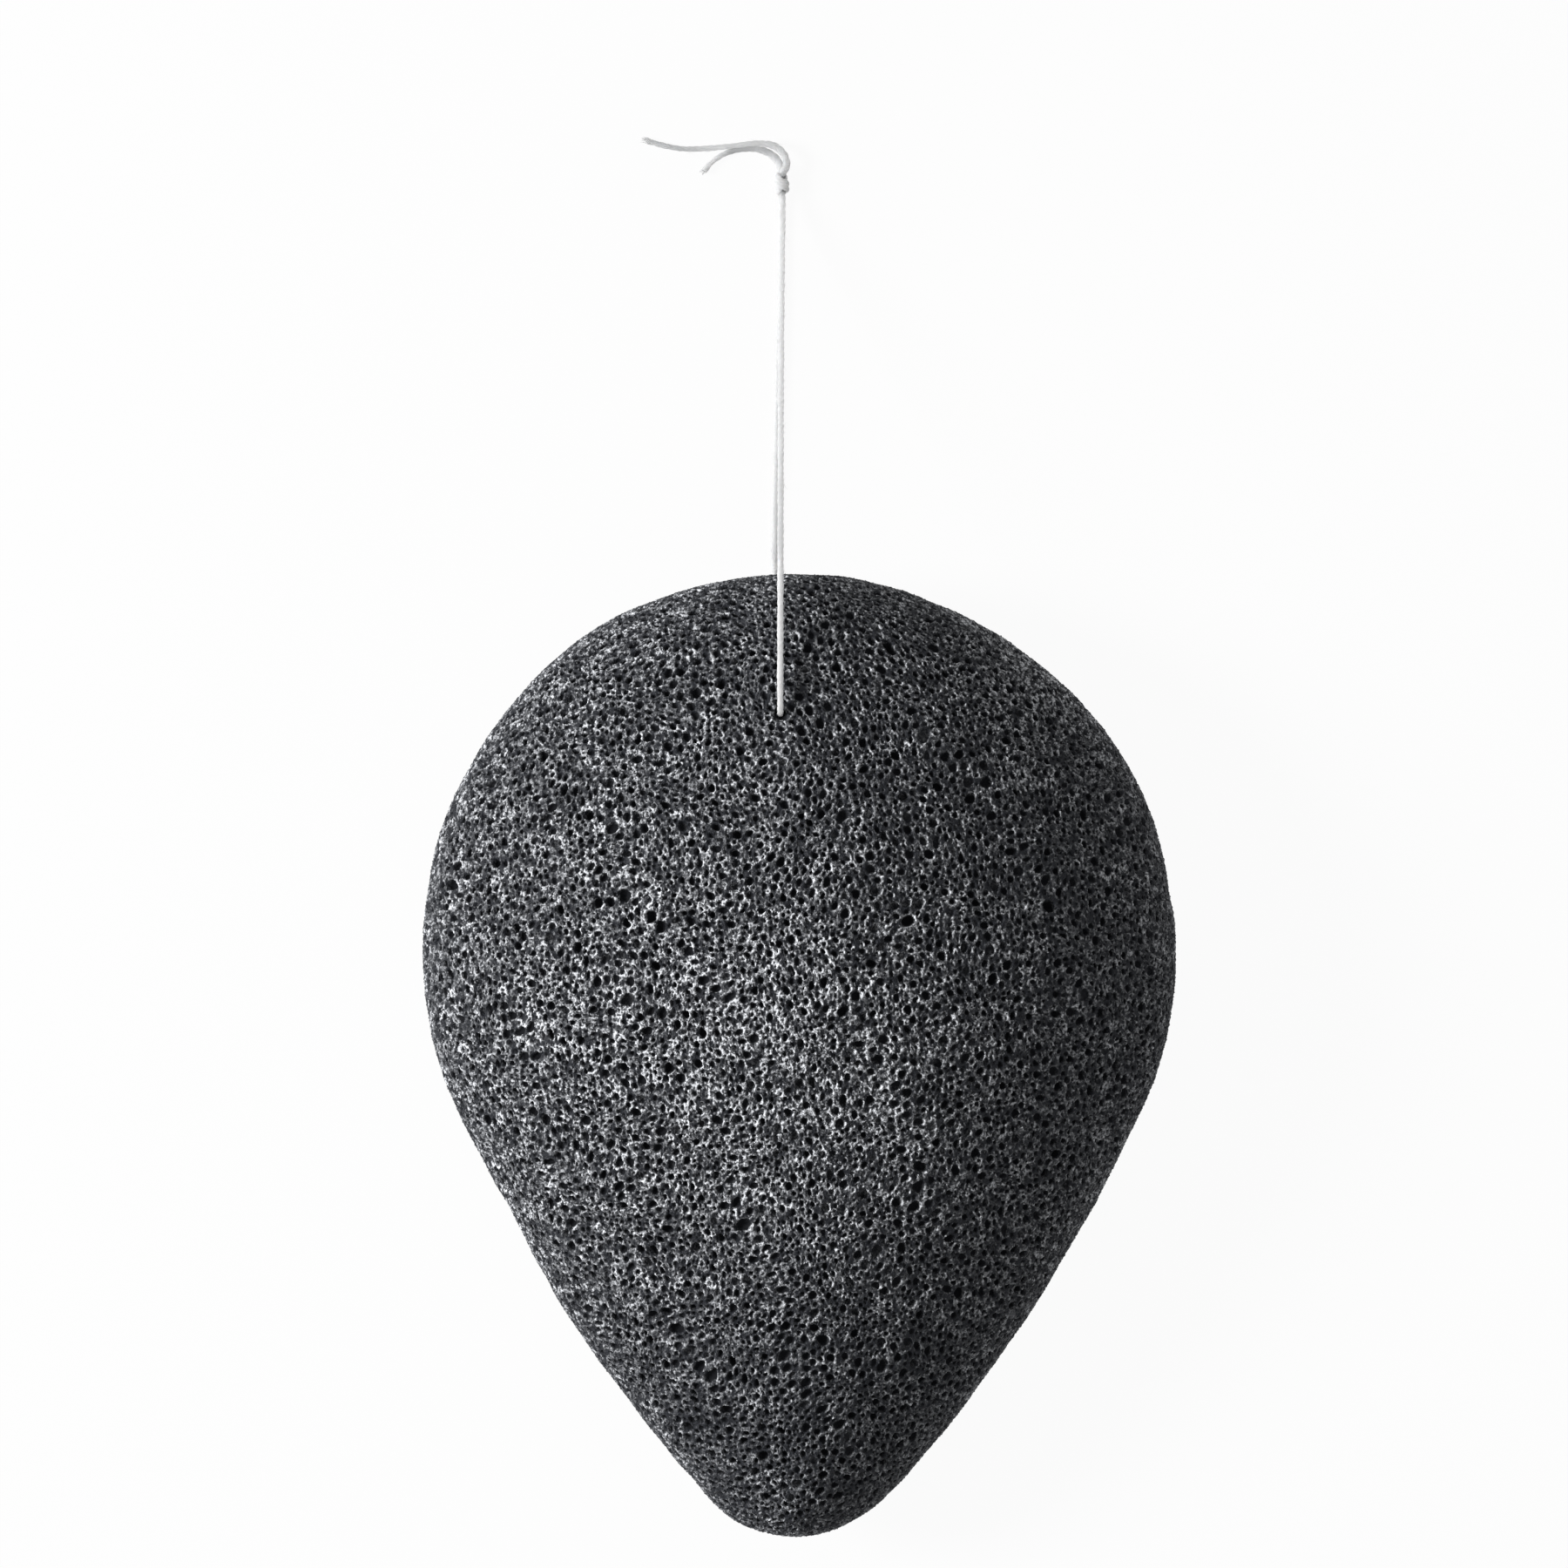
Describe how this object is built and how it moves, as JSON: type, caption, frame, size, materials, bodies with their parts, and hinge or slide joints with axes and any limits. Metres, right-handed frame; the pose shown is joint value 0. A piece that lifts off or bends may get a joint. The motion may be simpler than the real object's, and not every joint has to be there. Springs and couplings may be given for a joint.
{
  "type": "konjac sponge",
  "caption": "Drop-shaped dried konjac foam sponge, domed in front and flatter behind, with a knotted cotton hanging string threaded through its head.",
  "frame": {"origin": "on the surface that the sponge lies on, at the middle of the sponge's plan, without its string", "axes": "+Y runs from the tip to the round head and on along the string, +Z out of the domed front, +X to the right seen from the front"},
  "size_m": [0.072, 0.1345, 0.026],
  "materials": {
    "konjac_foam": "dry open-pored charcoal konjac foam",
    "cotton_string": "matt twisted off-white cotton"
  },
  "bodies": {
    "sponge": {"sponge_body": "konjac_foam"},
    "string": {"string_in_channel": "cotton_string", "string_front_strand": "cotton_string", "string_back_strand": "cotton_string", "string_knot": "cotton_string", "string_tail_long": "cotton_string", "string_tail_short": "cotton_string"}
  },
  "joints": [
    {"name": "string_swing", "type": "hinge", "parent": "sponge", "child": "string", "pos_m": [-0.0018, 0.0325, 0.0115], "axis": [0, 0, 1], "range_deg": [-40, 40]}
  ]
}
